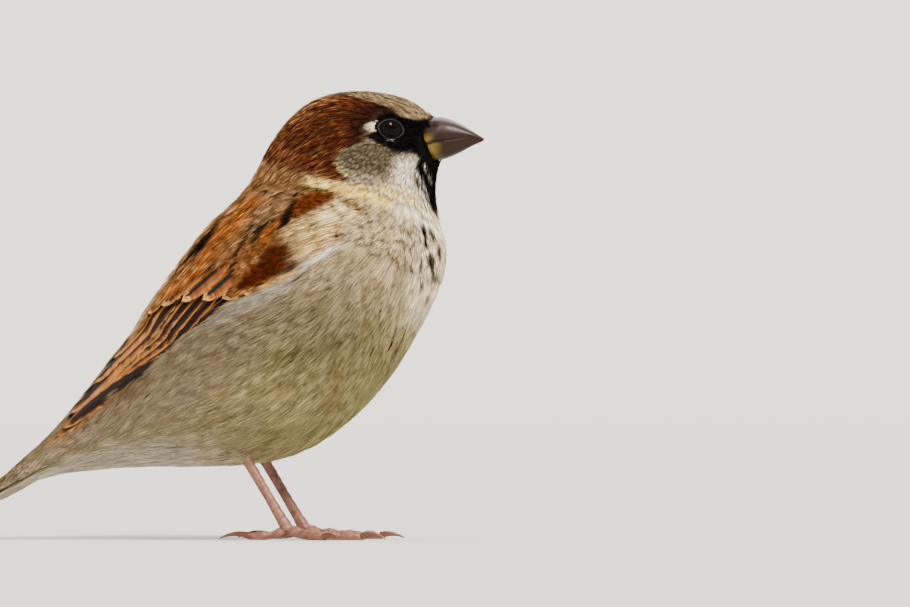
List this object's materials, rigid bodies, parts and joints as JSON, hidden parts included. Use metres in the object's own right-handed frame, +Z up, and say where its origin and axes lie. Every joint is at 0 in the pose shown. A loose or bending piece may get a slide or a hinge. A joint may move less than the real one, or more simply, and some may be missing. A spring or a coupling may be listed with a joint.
{
  "type": "male house sparrow",
  "caption": "Life-size male house sparrow standing upright on level ground, wings folded, with a stout conical bill and a long tail that rests on the floor.",
  "frame": {"origin": "middle of the bird's outline box, on the floor", "axes": "+X the way the bill points, +Y to the bird's left, +Z up"},
  "size_m": [0.1116, 0.0454, 0.0866],
  "materials": {
    "head_feathers": "matte plumage",
    "neck_feathers": "matte plumage",
    "body_feathers": "soft matte plumage",
    "wing_feathers": "matte plumage",
    "tail_feathers": "matte plumage",
    "bill": "smooth horn",
    "eye": "wet gloss",
    "leg": "scaly skin",
    "claw": "smooth horn"
  },
  "bodies": {
    "root": {"head": "head_feathers", "neck": "neck_feathers", "trunk": "body_feathers", "rump": "body_feathers", "thigh_right": "body_feathers", "thigh_left": "body_feathers", "wing_right_coverts": "wing_feathers", "wing_right_tertials": "wing_feathers", "wing_right_primaries": "wing_feathers", "wing_left_coverts": "wing_feathers", "wing_left_tertials": "wing_feathers", "wing_left_primaries": "wing_feathers", "tail_centre": "tail_feathers", "tail_right": "tail_feathers", "tail_left": "tail_feathers", "bill_upper": "bill", "bill_lower": "bill", "eye_right": "eye", "eye_left": "eye", "tarsus_right": "leg", "tarsus_left": "leg", "middle_toe_right": "leg", "inner_toe_right": "leg", "outer_toe_right": "leg", "hind_toe_right": "leg", "middle_toe_left": "leg", "inner_toe_left": "leg", "outer_toe_left": "leg", "hind_toe_left": "leg", "middle_claw_right": "claw", "inner_claw_right": "claw", "outer_claw_right": "claw", "hind_claw_right": "claw", "middle_claw_left": "claw", "inner_claw_left": "claw", "outer_claw_left": "claw", "hind_claw_left": "claw"}
  },
  "joints": []
}
